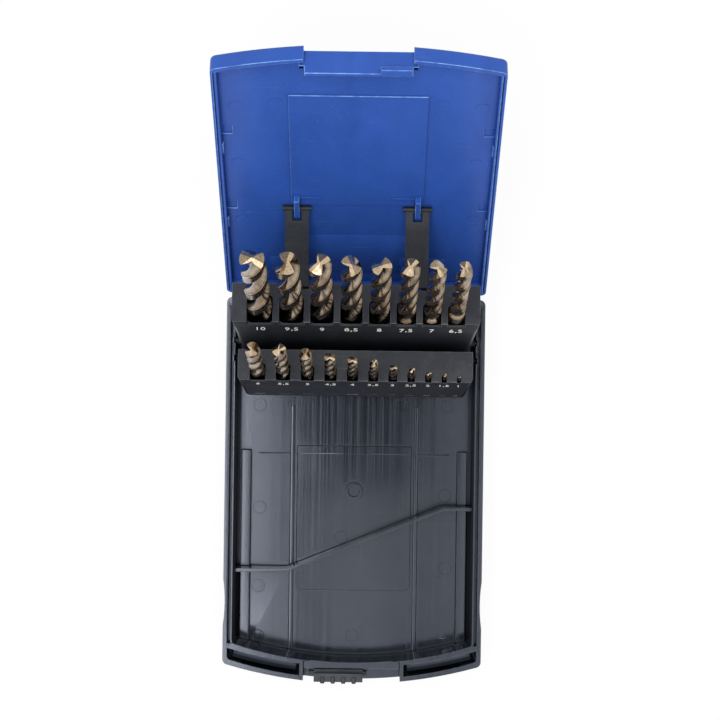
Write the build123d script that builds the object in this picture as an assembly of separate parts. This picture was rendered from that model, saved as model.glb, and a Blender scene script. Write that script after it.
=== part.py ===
from build123d import *
import os
from math import atan2, degrees, radians, tan

os.makedirs("parts", exist_ok=True)

# Case: x across, +y towards the hinge, +z up, origin under the middle of the tray.
# "back" distances run from the tray's back face towards the latch; "up" distances from the rim.
case_width = 110.0
back_face_y = 82.0
side_length = 156.0
front_bulge = 8.0
corner_radius = 2.5
tray_depth = 31.5
tray_wall = 1.9
tray_floor = 1.8
foot_chamfer = 0.9
lid_height = 7.5
lid_wall = 1.8
lid_roof = 1.6
lid_edge_radius = 1.6
piece_gap = 0.3
lid_open_angle = 120.0

# Front end of the tray: outer rim, open channel, inner wall.
channel_width = 5.1
inner_front_wall = 1.6

# Long sides: outer rim, shallow groove, inner rail. The lid's rim has a matching groove and ridge.
groove_width = 1.2
groove_depth = 5.0
rail_width = 0.8
rail_drop = 0.5
lid_rim = 0.95
lid_groove = 0.55
lid_groove_depth = 0.9
lid_ridge = 0.8
snap_slot = 2.4
clip_backs = (52.7, 104.5)
clip_height = 0.8

# Tray floor.
rib_x = 27.0
rib_width = 1.6
rib_height = 0.6
rib_start = 64.0
rib_run = 46.5
ledge_gap = 2.0
ledge_width = 4.0
ledge_height = 4.0
panel_half = 24.8
panel_end = 127.0
panel_height = 0.5
panel_radius = 2.4
ring_back = 83.6
ring_radius = 3.8
ring_bore = 2.5
rest_thickness = 1.6
rest_up = -12.8
rest_low_back = 117.4
rest_high_back = 90.0
rest_bend_left = -28.7
rest_bend_right = 38.6

# Hinge: moulded knuckles on steel pins just behind the back face.
hinge_back = -1.0
knuckle_radius = 2.7
pin_radius = 1.2
pin_clearance = 0.06
hinge_group_x = 32.0
tray_knuckle_length = 6.0
lid_knuckle_length = 8.0
stop_x = 13.0
stop_width = 6.0

# Large-drill rack, measured upright in its own frame.
upper_height = 57.0
upper_depth = 17.5
upper_side_gap = 0.4
upper_taper = 2.5
upper_end_wall = 6.12
upper_lean = 12.5
upper_pivot_back = 18.4
upper_pivot_up = -9.0
upper_pivot_from_foot = 3.7
upper_pivot_from_rear = 12.0
upper_front_wall = 1.9
upper_notch = 5.0
upper_band = 5.5
upper_band_step = 1.0

# Small-drill rack.
lower_height = 41.0
lower_depth = 13.6
lower_side_gap = 2.2
lower_taper = 1.4
lower_end_wall = 4.95
lower_lean = 9.5
lower_pivot_back = 26.0
lower_pivot_up = -13.3
lower_pivot_from_foot = 6.8
lower_pivot_from_rear = -1.9
lower_front_wall = 1.2
lower_notch = 3.6
lower_band = 4.5
lower_band_step = 0.6
lower_foot_radius = 3.5

rack_edge_radius = 2.5
pocket_floor = 2.0
pocket_corner = 0.2
window_up = 9.0
window_height = 3.2
window_widest = 5.0
window_play = 0.9
trunnion_radius = 1.7
trunnion_clearance = 0.06
trunnion_bite = 2.5
ear_radius = 3.0
lug_thickness = 1.6

# Straps that lift the upper rack.
strap_x = 24.4
strap_width = 9.6
strap_thickness = 1.5
strap_seat_in = 0.73
strap_seat_down = 1.12
strap_bar_radius = 1.05
strap_bar_width = 11.8
strap_hook_along = 60.0
strap_hook_up = 4.45
strap_side_play = 0.4
window_width = 4.0
window_start = 1.3
window_end = 5.1
hook_width = 2.2

# Sliding latch; insets are measured from the middle of the front edge.
recess_half = 20.6
recess_inset = 6.0
recess_drop = 16.0
ledge_inset = 9.5
ledge_drop = 3.3
guide_inset = 6.8
slider_left = -16.0
slider_width = 20.8
slider_inset = 0.8
slider_thickness = 4.8
catch_left = 8.0
catch_inset = 2.8
catch_low = -2.9
catch_high = -0.9
ridge_width = 1.8
ridge_height = 0.7
ridge_start = 3.7
ridge_pitch = 4.45

# Drill sizes: diameter, whole length, length standing above the rack.
large_drills = [
    (10, 133, 78), (9.5, 125, 73), (9, 125, 73), (8.5, 117, 73),
    (8, 117, 73), (7.5, 109, 73), (7, 109, 73), (6.5, 101, 73),
]
small_drills = [
    (6, 93, 54), (5.5, 93, 54), (5, 86, 47), (4.5, 80, 41), (4, 75, 36), (3.5, 70, 31),
    (3, 61, 22), (2.5, 57, 18), (2, 49, 11), (1.5, 40, 9), (1, 34, 6),
]
drill_clearance = 0.3
point_half_angle = 67.5

# Derived sizes.
half_width = case_width / 2
side_wall = tray_wall + groove_width + rail_width
inner_half = half_width - side_wall
floor_top = tray_floor - tray_depth
front_edge = side_length + front_bulge
outside = front_edge + 6.0
cavity_front_inset = tray_wall + channel_width + inner_front_wall
pin_length = 2 * tray_knuckle_length + lid_knuckle_length + 2 * piece_gap
trunnion_end = inner_half + trunnion_bite
upper_top_width = 2 * (inner_half - upper_side_gap)
upper_foot_width = upper_top_width - 2 * upper_taper
lower_top_width = 2 * (inner_half - lower_side_gap)
lower_foot_width = lower_top_width - 2 * lower_taper


def at(back, up):
    """Case position of a point given from the back face and the rim."""
    return back_face_y - back, tray_depth + up


def outline(inset=0.0, front_inset=None, side_inset=None):
    """Plan outline shared by tray and lid, drawn in by an inset."""
    front_inset = inset if front_inset is None else front_inset
    side_inset = inset if side_inset is None else side_inset
    half = half_width - side_inset
    back = back_face_y - inset
    corner = back_face_y - side_length + front_inset
    sides = Polyline((-half, corner), (-half, back), (half, back), (half, corner))
    front = ThreePointArc((half, corner), (0, corner - front_bulge), (-half, corner))
    face = make_face([*sides.edges(), *front.edges()])
    return fillet(face.vertices(), max(corner_radius - inset / 2, 0.8))


def slab(face, low, high):
    """A plan outline as a solid between two heights above the rim."""
    return Pos(0, 0, tray_depth + low) * extrude(face, high - low)


def block(x0, x1, back0, back1, low, high):
    """A box given by x, distance from the back face and height above the rim."""
    y, z = at((back0 + back1) / 2, (low + high) / 2)
    return Pos((x0 + x1) / 2, y, z) * Box(abs(x1 - x0), back1 - back0, high - low)


def side_profile(points, x0, x1):
    """A (distance from back, height above rim) outline carried across from x0 to x1."""
    corners = [(x0, *at(back, up)) for back, up in points]
    face = make_face(Polyline(*corners, close=True))
    return extrude(face, x1 - x0, dir=(1, 0, 0))


def rod(x0, x1, back, up, radius):
    """A round bar along x."""
    y, z = at(back, up)
    return Pos((x0 + x1) / 2, y, z) * Rot(0, 90, 0) * Cylinder(radius, abs(x1 - x0))


def knuckle_spans(lid):
    """x ranges of the lid's or the tray's knuckles."""
    half_lid = lid_knuckle_length / 2
    offset = half_lid + piece_gap
    spans = []
    for side in (-1, 1):
        middle = side * hinge_group_x
        if lid:
            spans.append((middle - half_lid, middle + half_lid))
            continue
        spans.append((middle - offset - tray_knuckle_length, middle - offset))
        spans.append((middle + offset, middle + offset + tray_knuckle_length))
    return spans


def knuckle_room(spans):
    """Round clearance cut in a wall for the other half's knuckles."""
    reach = knuckle_radius + piece_gap
    return [rod(x0 - piece_gap, x1 + piece_gap, hinge_back, 0, reach) for x0, x1 in spans]


def opened(shape):
    """Swings the closed lid to its open stop."""
    y, z = at(hinge_back, 0)
    return Pos(0, y, z) * Rot(-lid_open_angle, 0, 0) * Pos(0, -y, -z) * shape


# ---- Tray ----
def floor_ribs():
    """Long ribs and side ledges on the floor."""
    low = floor_top - 0.2
    ledge_outer = inner_half - ledge_gap
    ribs = []
    for side in (-1, 1):
        ribs.append(block(
            side * rib_x - rib_width / 2, side * rib_x + rib_width / 2,
            rib_run, side_length - 2, low, floor_top + rib_height))
        ribs.append(block(
            side * (ledge_outer - ledge_width), side * ledge_outer,
            rib_start + 2, side_length - 7, low, floor_top + ledge_height))
    return ribs


def floor_panel():
    """Raised panel with rounded front corners and the ring boss standing on it."""
    panel = block(
        -panel_half, panel_half, rib_start, panel_end, floor_top - 0.2, floor_top + panel_height)
    front = panel.edges().filter_by(Axis.Z).group_by(Axis.Y)[0]
    ring = Cylinder(ring_radius, 2.4) - Cylinder(ring_bore, 2.4)
    return [fillet(front, panel_radius), Pos(0, *at(ring_back, floor_top + 1)) * ring]


def drill_rest():
    """Slanting wall across the tray that the drills lie on when the case is shut."""
    end = inner_half + rail_width
    path = [
        (-end, rest_low_back), (rest_bend_left, rest_low_back),
        (rest_bend_right, rest_high_back), (end, rest_high_back),
    ]
    half = rest_thickness / 2
    legs = []
    for (x0, back0), (x1, back1) in zip(path, path[1:]):
        y0, y1 = at(back0, 0)[0], at(back1, 0)[0]
        foot = make_face(Polyline(
            (x0, y0 - half), (x1, y1 - half), (x1, y1 + half), (x0, y0 + half), close=True))
        legs.append(slab(foot, floor_top - 0.2, rest_up))
    return legs


def side_grooves():
    """Groove between the outer rim and the inner rail of each long side, and the lowered rail top."""
    cuts = []
    for side in (-1, 1):
        outer = side * (half_width - tray_wall)
        inner = side * (inner_half + rail_width)
        near, far = 2 * tray_wall, side_length - cavity_front_inset
        cuts.append(block(inner, outer, near, far, -groove_depth, 1))
        cuts.append(block(side * (inner_half - 1), outer, near, far, -rail_drop, 1))
    return cuts


def trunnion_seats():
    """Bores for the rack trunnions with the slots they snap in through."""
    seats = []
    bore = trunnion_radius + trunnion_clearance
    for side in (-1, 1):
        near = side * (inner_half - 1)
        for back, up in ((upper_pivot_back, upper_pivot_up), (lower_pivot_back, lower_pivot_up)):
            seats.append(rod(near, side * (trunnion_end + piece_gap), back, up, bore))
            seats.append(block(
                near, side * (inner_half + rail_width), back - snap_slot / 2, back + snap_slot / 2, up, 1))
    return seats


def hinge_stops():
    """Wedges on the back face that the open lid comes down on."""
    wedge = [(0.2, -7.0), (0.2, -0.1), (-0.4, 0.0), (-1.4, 0.5), (-5.2, -1.62), (-5.2, -2.6)]
    half = stop_width / 2
    return [side_profile(wedge, side * stop_x - half, side * stop_x + half) for side in (-1, 1)]


def grip_dips():
    """Shallow finger dips in both long sides."""
    radius, depth = 72.0, 0.7
    y, _ = at(side_length - 26, 0)
    dips = []
    for side in (-1, 1):
        x = side * (half_width + radius - depth)
        dips.append(Pos(x, y, tray_depth / 2) * Cylinder(radius, tray_depth + 2))
    return dips


def front_channel():
    """Open channel behind the front rim, split by the latch recess."""
    channel = slab(outline(tray_wall), floor_top, 1)
    channel -= slab(outline(0, tray_wall + channel_width), floor_top - 1, 2)
    side_posts = recess_half + inner_front_wall
    return channel - block(-side_posts, side_posts, side_length - 16, outside, -tray_depth - 9, 2)


def latch_recess():
    """Recess for the slider, the ledge above it, its guide slot and the hollow underneath."""
    face = front_edge - recess_inset
    half = recess_half
    return [
        block(-half, half, face, outside, -recess_drop, 1),
        block(-half, half, front_edge - ledge_inset, outside, -ledge_drop, 1),
        block(-half, half, front_edge - guide_inset, face + 0.2, -9.3, -5.2),
        block(1 - half, half - 1, face - 1, face + 3.6, -tray_depth - 1, -recess_drop - 2),
    ]


def make_tray():
    body = slab(outline(), -tray_depth, 0)
    body = chamfer(body.faces().sort_by(Axis.Z)[0].edges(), foot_chamfer)
    body -= slab(outline(tray_wall, cavity_front_inset, side_wall), floor_top, 1)
    body -= side_grooves()
    body -= front_channel()
    body -= latch_recess()
    body += floor_ribs() + floor_panel() + drill_rest()
    body -= trunnion_seats()
    for x0, x1 in knuckle_spans(False):
        body += rod(x0, x1, hinge_back, 0, knuckle_radius)
        body += side_profile([(0.5, -6.5), (0.5, 0), (-2.2, -2), (-3.6, -1)], x0, x1)
    body += hinge_stops()
    body -= knuckle_room(knuckle_spans(True))
    for x0, x1 in knuckle_spans(False):
        body -= rod(x0, x1, hinge_back, 0, pin_radius)
    return body - grip_dips()


# ---- Lid, drawn closed and then swung open ----
def strap_hooks():
    """J-hooks under the roof that hold the straps' bars."""
    s, e = strap_hook_along - 1.0, strap_hook_up
    roof = lid_height - lid_roof + 0.2
    under = e - strap_bar_radius - 0.35
    points = [
        (s + 8, roof), (s + 8, under - 1.1), (s - 3.4, under - 1.1), (s - 3.4, e - 0.5),
        (s - 2.4, e - 0.5), (s - 2.0, under), (s + 1.7, under), (s + 2.2, roof),
    ]
    return [
        side_profile(points, side * strap_x - hook_width / 2, side * strap_x + hook_width / 2)
        for side in (-1, 1)
    ]


def side_ridges():
    """Inner ridge on each long side, set off from the rim by a narrow groove."""
    ridges, grooves = [], []
    near, far = lid_wall, side_length - lid_wall
    for side in (-1, 1):
        outer = half_width - lid_rim
        inner = outer - lid_groove - lid_ridge
        ridges.append(block(
            side * inner, side * outer, near, far, piece_gap, lid_height - lid_roof + 0.1))
        grooves.append(block(
            side * (outer - lid_groove), side * outer, near, far, -1, piece_gap + lid_groove_depth))
    return ridges, grooves


def side_clips():
    """Snap bumps on the long sides with the core windows sunk in the roof beside them."""
    face = half_width - lid_rim - lid_groove - lid_ridge
    bumps, windows = [], []
    roof = lid_height - lid_roof
    for side in (-1, 1):
        for back in clip_backs:
            tip, root = side * (face - clip_height), side * (face + 0.1)
            bumps.append(block(tip, root, back - 3, back + 3, 1.0, 2.6))
            windows.append(block(side * (face - 4), side * face, back + 3.6, back + 9, roof - 1, roof + 0.6))
    return bumps, windows


def latch_notch():
    """Wall set back behind the slider, with the tongue that reaches the tray's ledge and the catch."""
    half = recess_half - piece_gap
    back = front_edge - guide_inset
    face = front_edge - recess_inset + 1.0
    roof = lid_height - lid_roof
    return [
        block(-half - lid_wall, half + lid_wall, back, face, piece_gap, roof + 0.5),
        block(0.3 - half, half - 0.3, back + 0.2, face, catch_low, piece_gap + 0.1),
        block(catch_left, half - 0.3, face - 0.5, front_edge - catch_inset, catch_low, catch_high),
    ]


def make_lid():
    roof = lid_height - lid_roof
    body = slab(outline(), piece_gap, lid_height)
    body = fillet(body.faces().sort_by(Axis.Z)[-1].edges(), lid_edge_radius)
    body -= slab(outline(lid_wall), -1, roof)
    body -= block(-26.6, 26.6, 61.5, 134, lid_height - 0.6, lid_height + 1)
    body += block(-26.6, 26.6, 60.5, 134, roof - 0.6, roof + 0.1)
    half = recess_half - piece_gap
    body -= block(-half, half, front_edge - recess_inset + 1, outside, -5, lid_height + 9)
    ridges, grooves = side_ridges()
    bumps, windows = side_clips()
    body += ridges + bumps + latch_notch() + strap_hooks()
    body -= grooves + windows
    for x0, x1 in knuckle_spans(True):
        body += rod(x0, x1, hinge_back, 0, knuckle_radius)
        body += side_profile([(0.5, 0.4), (0.5, 6.5), (-3.6, 1), (-2.2, 0)], x0, x1)
    body -= knuckle_room(knuckle_spans(False))
    for x0, x1 in knuckle_spans(True):
        body -= rod(x0, x1, hinge_back, 0, pin_radius + pin_clearance)
    return opened(body)


def make_pins():
    half = pin_length / 2
    return Compound([
        rod(side * hinge_group_x - half, side * hinge_group_x + half, hinge_back, 0, pin_radius)
        for side in (-1, 1)
    ])


# ---- Racks, drawn upright about their pivots ----
def rack_places(drills, width, end_wall):
    """x centre of each drill, large to small from the left, with even gaps between the pockets."""
    bores = [size + 2 * drill_clearance for size, _, _ in drills]
    gap = (width - 2 * end_wall - sum(bores)) / (len(bores) - 1)
    x = end_wall - width / 2
    places = []
    for bore in bores:
        places.append(x + bore / 2)
        x += bore + gap
    return places


def rack_block(height, depth, top_width, foot_width, rear, foot, notch, band, step, toe):
    """Tapered block with its pivot at the origin and a sloping number band under the notches."""
    front, top = rear - depth, foot + height
    side = make_face(Polyline(
        (0, rear, foot), (0, rear, top), (0, front + step, top), (0, front + step, top - notch),
        (0, front, top - notch - band), (0, front, foot), close=True))
    if toe:
        side = fillet(side.vertices().group_by(Axis.Z)[0].sort_by(Axis.Y)[0], toe)
    body = Pos(-top_width / 2, 0, 0) * extrude(side, top_width, dir=(1, 0, 0))
    face = make_face(Polyline(
        (-foot_width / 2, rear, foot), (foot_width / 2, rear, foot),
        (top_width / 2, rear, top), (-top_width / 2, rear, top), close=True))
    ends = extrude(face, depth, dir=(0, -1, 0))
    upright = ends.edges().filter_by(lambda e: abs(e.tangent_at(0.5).Z) > 0.9)
    return body & fillet(upright.group_by(Axis.Y)[0], rack_edge_radius)


def rack_pockets(body, drills, places, front, front_wall, top, foot, notch):
    """Cuts each drill's pocket, the step in the front wall and the core under its floor."""
    for x, (size, length, shown) in zip(places, drills):
        bore = size / 2 + drill_clearance
        y = front + front_wall + bore
        deep = length - shown + piece_gap
        pocket = RectangleRounded(2 * bore, 2 * bore, pocket_corner * size)
        body -= Pos(x, y, top - deep) * extrude(pocket, deep + 1)
        body -= Pos(x, front, top - notch / 2 + 0.5) * Box(2 * bore, 2 * (y - front), notch + 1)
        room = top - deep - pocket_floor - foot
        if room > 5:
            body -= Pos(x, y, foot + room / 2 - 0.5) * Box(
                min(2 * bore, 9), min(2 * bore, 9), room + 1)
    return body


def placed(shape, lean, back, up):
    """Stands a rack or drill drawn about its pivot at its open lean."""
    return Pos(0, *at(back, up)) * Rot(-lean, 0, 0) * shape


def trunnion(start):
    """Round pin along x from a rack's side into its seat."""
    return Pos((start + trunnion_end) / 2, 0, 0) * Rot(0, 90, 0) * Cylinder(
        trunnion_radius, trunnion_end - start)


def make_upper_rack():
    rear, foot = upper_pivot_from_rear, -upper_pivot_from_foot
    top = foot + upper_height
    body = rack_block(
        upper_height, upper_depth, upper_top_width, upper_foot_width, rear, foot,
        upper_notch, upper_band, upper_band_step, 0)
    places = rack_places(large_drills, upper_top_width, upper_end_wall)
    body = rack_pockets(
        body, large_drills, places, rear - upper_depth, upper_front_wall, top, foot, upper_notch)
    for side in (-1, 1):
        body -= Pos(side * strap_x, rear, top) * Box(strap_width + 2 * strap_side_play, 5.0, 7.0)
        body -= Pos(side * strap_x, rear, top - 6.8) * Box(hook_width + 2, 3.6, 19)
    pin = trunnion(upper_foot_width / 2 - 1)
    body += [pin, mirror(pin, Plane.YZ)]
    return placed(body, upper_lean, upper_pivot_back, upper_pivot_up)


def lower_ear(rear):
    """Ear that carries the lower rack's trunnion behind its back face."""
    inner = inner_half - piece_gap - lug_thickness
    middle = inner + lug_thickness / 2
    ear = Pos(middle, 0, 0) * Rot(0, 90, 0) * Cylinder(ear_radius, lug_thickness)
    arm = Pos(middle, rear - 2, 0) * Box(lug_thickness, 8, 2 * ear_radius)
    side = lower_foot_width / 2 - 1
    web = Pos((side + middle) / 2, rear - 3.4, 0) * Box(middle - side, 5, 2 * ear_radius)
    return ear + arm + web + trunnion(inner + 0.5)


def make_lower_rack():
    rear, foot = lower_pivot_from_rear, -lower_pivot_from_foot
    top = foot + lower_height
    front = rear - lower_depth
    body = rack_block(
        lower_height, lower_depth, lower_top_width, lower_foot_width, rear, foot,
        lower_notch, lower_band, lower_band_step, lower_foot_radius)
    places = rack_places(small_drills, lower_top_width, lower_end_wall)
    body = rack_pockets(
        body, small_drills, places, front, lower_front_wall, top, foot, lower_notch)
    for x, (size, _, _) in zip(places, small_drills):
        width = min(size + window_play, window_widest)
        body -= Pos(x, front, foot + window_up) * Box(width, 2 * lower_front_wall + 1, window_height)
    ear = lower_ear(rear)
    body += [ear, mirror(ear, Plane.YZ)]
    return placed(body, lower_lean, lower_pivot_back, lower_pivot_up)


# ---- Straps ----
def strap_line():
    """Strap length, and its fall below the lid's plane with the case open, from the two ends."""
    bar = opened(Pos(0, *at(strap_hook_along - 1.0, strap_hook_up))).position
    seat = placed(
        Pos(0, upper_pivot_from_rear - strap_seat_in,
            upper_height - upper_pivot_from_foot - strap_seat_down),
        upper_lean, upper_pivot_back, upper_pivot_up).position
    along = bar - seat
    return along.length, 180 - lid_open_angle - degrees(atan2(along.Z, along.Y))


def make_strap(side):
    """Flat strap drawn about its lid bar, pointing down, then laid at its open angle."""
    length, fall = strap_line()
    plate = Pos(0, 0, -length / 2) * Box(strap_width, strap_thickness, length)
    plate += Rot(0, 90, 0) * Cylinder(strap_bar_radius, strap_bar_width)
    plate += Pos(0, 0, -length) * Rot(0, 90, 0) * Cylinder(strap_thickness / 2, strap_width)
    mid = (window_start + window_end) / 2
    plate -= Pos(0, 0, -mid) * Box(window_width, 4, window_end - window_start)
    closed_y, closed_z = at(strap_hook_along - 1.0, strap_hook_up)
    return opened(Pos(side * strap_x, closed_y, closed_z) * Rot(90 - fall, 0, 0) * plate)


# ---- Latch slider ----
def make_slider():
    x0, x1 = slider_left, slider_left + slider_width
    front = front_edge - slider_inset
    back = front - slider_thickness
    body = block(x0, x1, back, front, -recess_drop + piece_gap, -3.6)
    body += block(x0, x1, front - 1.6, front, -3.7, -0.4)
    body += block(x0, x1, front - 3.6, front, -0.5, 1.5)
    body += block(x0, x1, back - 0.9, back + 0.1, -9.0, -5.5)
    for count in range(4):
        x = x0 + ridge_start + count * ridge_pitch
        body += block(x - ridge_width / 2, x + ridge_width / 2, front - 0.1, front + ridge_height, -14.5, 1.0)
    return body + rod(x0 - 2.4, x1 + 1.9, front - 3.2, -5.2, 1.2)


# ---- Drills ----
def make_drill(size, length):
    """Drill blank standing on its shank, with the four ground facets of its point."""
    shoulder = length - size / tan(radians(point_half_angle))
    gable = make_face(Polyline(
        (-size, 0, 0), (size, 0, 0), (size, 0, shoulder), (0, 0, length), (-size, 0, shoulder),
        close=True))
    facets = extrude(gable, size, dir=(0, 1, 0), both=True)
    blank = Pos(0, 0, length / 2) * Cylinder(size / 2, length)
    return blank & facets & Rot(0, 0, 90) * facets


def write_drills(drills, places, front, top, lean, back, up):
    """Stands each drill in its pocket and writes it."""
    for x, (size, length, shown) in zip(places, drills):
        y = front + size / 2 + drill_clearance
        drill = Pos(x, y, top - (length - shown)) * make_drill(size, length)
        name = f"drill_{size:.1f}".replace(".", "_")
        export_step(placed(drill, lean, back, up), f"parts/{name}.step")


export_step(make_tray(), "parts/base_tray.step")
export_step(make_lid(), "parts/lid_shell.step")
export_step(make_pins(), "parts/hinge_pins.step")
export_step(make_upper_rack(), "parts/upper_rack.step")
export_step(make_lower_rack(), "parts/lower_rack.step")
export_step(make_strap(-1), "parts/strap_left.step")
export_step(make_strap(1), "parts/strap_right.step")
export_step(make_slider(), "parts/latch_slider.step")
write_drills(
    large_drills, rack_places(large_drills, upper_top_width, upper_end_wall),
    upper_pivot_from_rear - upper_depth + upper_front_wall, upper_height - upper_pivot_from_foot,
    upper_lean, upper_pivot_back, upper_pivot_up)
write_drills(
    small_drills, rack_places(small_drills, lower_top_width, lower_end_wall),
    lower_pivot_from_rear - lower_depth + lower_front_wall, lower_height - lower_pivot_from_foot,
    lower_lean, lower_pivot_back, lower_pivot_up)
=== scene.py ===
import math
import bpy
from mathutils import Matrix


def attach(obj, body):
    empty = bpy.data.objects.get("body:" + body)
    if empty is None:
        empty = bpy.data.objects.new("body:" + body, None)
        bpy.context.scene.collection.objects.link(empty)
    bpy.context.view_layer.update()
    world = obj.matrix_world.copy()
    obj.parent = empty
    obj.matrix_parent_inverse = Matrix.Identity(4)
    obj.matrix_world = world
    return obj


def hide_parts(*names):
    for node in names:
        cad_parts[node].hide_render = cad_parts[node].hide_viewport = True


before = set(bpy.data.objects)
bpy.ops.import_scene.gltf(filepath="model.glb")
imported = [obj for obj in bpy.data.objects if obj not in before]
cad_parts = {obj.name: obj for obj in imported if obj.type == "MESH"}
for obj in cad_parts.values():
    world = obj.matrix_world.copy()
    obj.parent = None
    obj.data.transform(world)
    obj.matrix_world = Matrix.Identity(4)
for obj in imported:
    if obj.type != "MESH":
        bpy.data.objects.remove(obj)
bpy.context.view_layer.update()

from types import SimpleNamespace

import bpy
from mathutils import Matrix, Vector

MM = 0.001

# ---- Places taken over from the solids, in millimetres ----
# "back" runs from the tray's back face towards the latch, "up" from the rim.
BACK_FACE = 82.0
FLOOR, RIM = 1.8, 31.5
FLOOR_UP = FLOOR - RIM
LID_HEIGHT, LID_WALL = 7.5, 1.6
LID_ROOF_UP = LID_HEIGHT - LID_WALL
HINGE_BACK = -1.0
LID_OPEN = 120.0
DRILL_PLAY = 0.3
SLIDER_LEFT, SLIDER_FRONT = -16.0, 163.2

# Diameter, whole length, length above the rack, fluted length, turn about its own axis.
LARGE_DRILLS = [
    (10, 133, 78, 87, -25), (9.5, 125, 73, 81, 75), (9, 125, 73, 81, 45), (8.5, 117, 73, 75, 110),
    (8, 117, 73, 75, 15), (7.5, 109, 73, 69, 55), (7, 109, 73, 69, 120), (6.5, 101, 73, 63, 78),
]
SMALL_DRILLS = [
    (6, 93, 54, 57, 85), (5.5, 93, 54, 57, 30), (5, 86, 47, 52, 75), (4.5, 80, 41, 47, -15),
    (4, 75, 36, 43, -20), (3.5, 70, 31, 39, 60), (3, 61, 22, 33, 0), (2.5, 57, 18, 30, 40),
    (2, 49, 11, 24, 20), (1.5, 40, 9, 18, 55), (1, 34, 6, 12, 10),
]

# Each rack in its own upright frame, with its pivot as back and up in the case. The sizes stand on
# a sloping band under a notch in the top edge, and digit is their height.
UPPER = SimpleNamespace(
    body="upper_rack", drills=LARGE_DRILLS, lean=12.5, pivot=(18.4, -9.0), width=101.4, end_wall=6.12,
    front=-5.5, front_wall=1.9, top=53.3, notch=5.0, band=5.5, step=1.0, digit=2.9)
LOWER = SimpleNamespace(
    body="lower_rack", drills=SMALL_DRILLS, lean=9.5, pivot=(26.0, -13.3), width=97.8, end_wall=4.95,
    front=-15.5, front_wall=1.2, top=34.2, notch=3.6, band=4.5, step=0.6, digit=2.4)


# ---- Working helpers ----
def deselect():
    """Leaves nothing selected and no object being edited."""
    if bpy.context.object and bpy.context.object.mode != "OBJECT":
        bpy.ops.object.mode_set(mode="OBJECT")
    bpy.ops.object.select_all(action="DESELECT")


def activate(obj):
    """Selects one object alone."""
    deselect()
    obj.select_set(True)
    bpy.context.view_layer.objects.active = obj


def settle(obj):
    """Puts the object's place into its mesh."""
    activate(obj)
    bpy.ops.object.transform_apply(location=True, rotation=True, scale=True)


def move(obj, matrix):
    """Carries a finished mesh to its place, leaving the object at the origin."""
    obj.matrix_world = matrix
    settle(obj)


def twin(obj, name):
    """A copy with a mesh of its own."""
    other = obj.copy()
    other.data = obj.data.copy()
    other.name = other.data.name = name
    bpy.context.scene.collection.objects.link(other)
    return other


def edit(obj, mode="VERT"):
    """Opens one object for editing with nothing selected."""
    activate(obj)
    bpy.ops.object.mode_set(mode="EDIT")
    bpy.ops.mesh.select_mode(type=mode)
    bpy.ops.mesh.select_all(action="DESELECT")
    bpy.ops.object.mode_set(mode="OBJECT")


def pick(elements, test):
    """Selects the vertices, edges or faces that pass a test, and goes on editing."""
    for element in elements:
        element.select = test(element)
    bpy.ops.object.mode_set(mode="EDIT")


def done():
    """Ends the editing."""
    bpy.ops.object.mode_set(mode="OBJECT")


def apply_modifier(obj, kind, **settings):
    """Adds a modifier, sets it and applies it."""
    activate(obj)
    modifier = obj.modifiers.new(kind.lower(), kind)
    for key, value in settings.items():
        setattr(modifier, key, value)
    bpy.ops.object.modifier_apply(modifier=modifier.name)


def smooth(obj, angle=32):
    """Shades a mesh smooth, but for edges that turn by more than the angle in degrees."""
    activate(obj)
    bpy.ops.object.shade_smooth_by_angle(angle=math.radians(angle))


def outward(obj):
    """Merges doubles and turns every face outwards."""
    edit(obj)
    pick(obj.data.vertices, lambda v: True)
    bpy.ops.mesh.remove_doubles(threshold=0.000002)
    bpy.ops.mesh.normals_make_consistent(inside=False)
    done()


def finish_piece(obj, body, slot_name, nodes=(), material=None):
    """Gives the piece the finish named by its slot, or the material given, parents it to its body and hides
    the nodes it stands for.
    """
    obj.data.materials.clear()
    obj.data.materials.append(material or FINISHES[slot_name])
    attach(obj, body)
    if nodes:
        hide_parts(*nodes)
    return obj


# ---- Frames of the moving parts ----
def case_point(x, back, up):
    """A place in the shut case, in metres."""
    return Vector((x, BACK_FACE - back, RIM + up)) * MM


def rack_place(rack):
    """From a rack's own upright frame, in millimetres, to the case."""
    back, up = rack.pivot
    turn = Matrix.Rotation(math.radians(-rack.lean), 4, "X")
    return Matrix.Translation(case_point(0, back, up)) @ turn @ Matrix.Scale(MM, 4)


def lid_place():
    """From the closed lid's frame (x, -back, up), in millimetres, to the open lid."""
    hinge = Matrix.Translation(case_point(0, HINGE_BACK, 0))
    turn = Matrix.Rotation(math.radians(-LID_OPEN), 4, "X")
    return hinge @ turn @ Matrix.Translation((0, HINGE_BACK * MM, 0)) @ Matrix.Scale(MM, 4)


CASE = Matrix.Translation(case_point(0, 0, 0)) @ Matrix.Scale(MM, 4)
LID = lid_place()


# ---- Twist drills ----
# Angles in degrees round the section, radii as shares of the drill's radius, lengths as shares of
# its diameter.
SECTION_POINTS = 48
MARGIN_END, LAND_END = 9.0, 68.0
BODY_RADIUS = 0.955
FLUTE_DEPTH, FLUTE_SKEW, FLUTE_ROUND = 0.74, 0.86, 0.72
PITCH_PER_SIZE = 5.2
STEPS_PER_TURN, FEWEST_STEPS = 22, 8
RUN_OUT_STEPS, RUN_OUT_FALL, RUN_OUT_TWIST, RUN_OUT_EASE = 6, 1.1, 40, 1.3
SHANK_CHAMFER, SHANK_END = 0.12, 0.76
HAIR = 0.001             # slack for choosing points by their height, in millimetres

# Where a cut at the point faces from the lip, its half angle, and how far it starts below the tip.
RELIEF_CUT = (38, 67.5, 0.0)
GASH_CUT = (118, 52.0, 0.05)
FACET_UP, GASH_UP = 0.7, 0.86


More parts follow.
